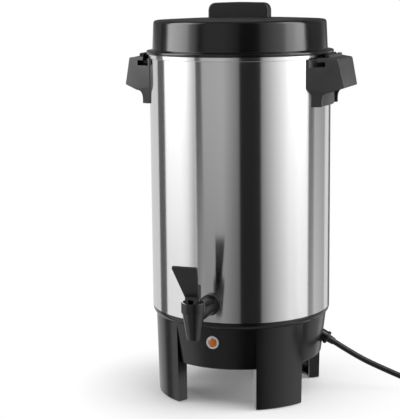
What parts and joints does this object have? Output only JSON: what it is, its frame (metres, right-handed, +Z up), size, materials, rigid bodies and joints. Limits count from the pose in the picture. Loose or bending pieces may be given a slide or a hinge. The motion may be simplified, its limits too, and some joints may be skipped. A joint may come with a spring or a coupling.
{
  "type": "electric coffee urn",
  "caption": "Electric percolator coffee urn: steel body on a black legged base, lever tap with spring valve, twist-lock lid, hooded side handles, pilot lamp and coiled mains lead.",
  "frame": {"origin": "on the urn's axis at floor level, under the middle of the four feet", "axes": "+Z up along the urn's axis, -Y towards the tap, +X towards the right-hand handle as seen from the tap"},
  "size_m": [0.45, 0.2802, 0.437],
  "materials": {
    "brushed_steel": "vertically reflecting brushed stainless steel",
    "polished_steel": "bright stainless steel",
    "zinc_steel": "zinc-plated steel",
    "element_steel": "dull heat-tinted steel",
    "aluminium": "spun aluminium",
    "bezel_chrome": "bright ring",
    "lid_plastic": "satin gloss black",
    "knob_plastic": "fine-grained matte black",
    "handle_plastic": "satin black",
    "base_plastic": "satin black",
    "tap_plastic": "satin black",
    "lever_plastic": "fine-grained matte black",
    "control_plastic": "brown phenolic",
    "amber_lens": "clear amber lens",
    "lamp_glass": "small neon lamp",
    "rubber": "matte black rubber",
    "silicone": "translucent silicone",
    "cord_plastic": "satin black PVC",
    "wire_plastic": "heat-proof sleeved wire",
    "tie_plastic": "black strap",
    "plug_plastic": "satin black PVC",
    "plug_brass": "plated brass"
  },
  "bodies": {
    "urn": {"outer_shell": "brushed_steel", "inner_tank": "polished_steel", "handle_left": "handle_plastic", "handle_right": "handle_plastic", "handle_screws": "zinc_steel", "base_housing": "base_plastic", "bottom_cover": "zinc_steel", "foot_pads": "rubber", "tie_studs": "zinc_steel", "tie_nuts": "zinc_steel", "heater_plate": "aluminium", "heating_element": "element_steel", "thermostat": "control_plastic", "thermal_fuse": "aluminium", "lead_wires": "wire_plastic", "indicator_bezel": "bezel_chrome", "indicator_lens": "amber_lens", "indicator_lamp": "lamp_glass", "tap_body": "tap_plastic", "tap_bonnet": "tap_plastic", "tap_washer": "rubber", "tap_spacer": "control_plastic", "tap_gasket": "rubber", "tap_nut": "tap_plastic", "valve_spring": "zinc_steel", "pump_tube": "aluminium", "pump_foot": "aluminium", "coffee_basket": "aluminium", "basket_cover": "aluminium", "cord_gland": "cord_plastic", "power_cord": "cord_plastic", "cord_coil": "cord_plastic", "cord_tie": "tie_plastic", "plug_body": "plug_plastic", "plug_blades": "plug_brass"},
    "lid": {"lid_shell": "lid_plastic", "lid_knob": "knob_plastic", "knob_screws": "zinc_steel"},
    "stem": {"valve_stem": "tap_plastic", "valve_seal": "silicone"},
    "lever": {"tap_lever": "lever_plastic", "lever_pin": "zinc_steel"}
  },
  "joints": [
    {"name": "lid_twist", "type": "hinge", "parent": "urn", "child": "lid", "pos_m": [0, 0, 0.382], "axis": [0, 0, 1], "range_deg": [-40, 40]},
    {"name": "stem_lift", "type": "slide", "parent": "urn", "child": "stem", "axis": [0, 0, 1], "range_m": [0, 0.0031], "deforming": ["valve_spring"]},
    {"name": "lever_tilt", "type": "hinge", "parent": "stem", "child": "lever", "pos_m": [0, -0.1528, 0.1365], "axis": [1, 0, 0], "range_deg": [0, 35], "stiffness_Nm_per_rad": 0.015, "springref_deg": -45.84}
  ],
  "couplings": [
    {"joint": "stem_lift", "follows": "lever_tilt", "m_per_rad": 0.005}
  ]
}
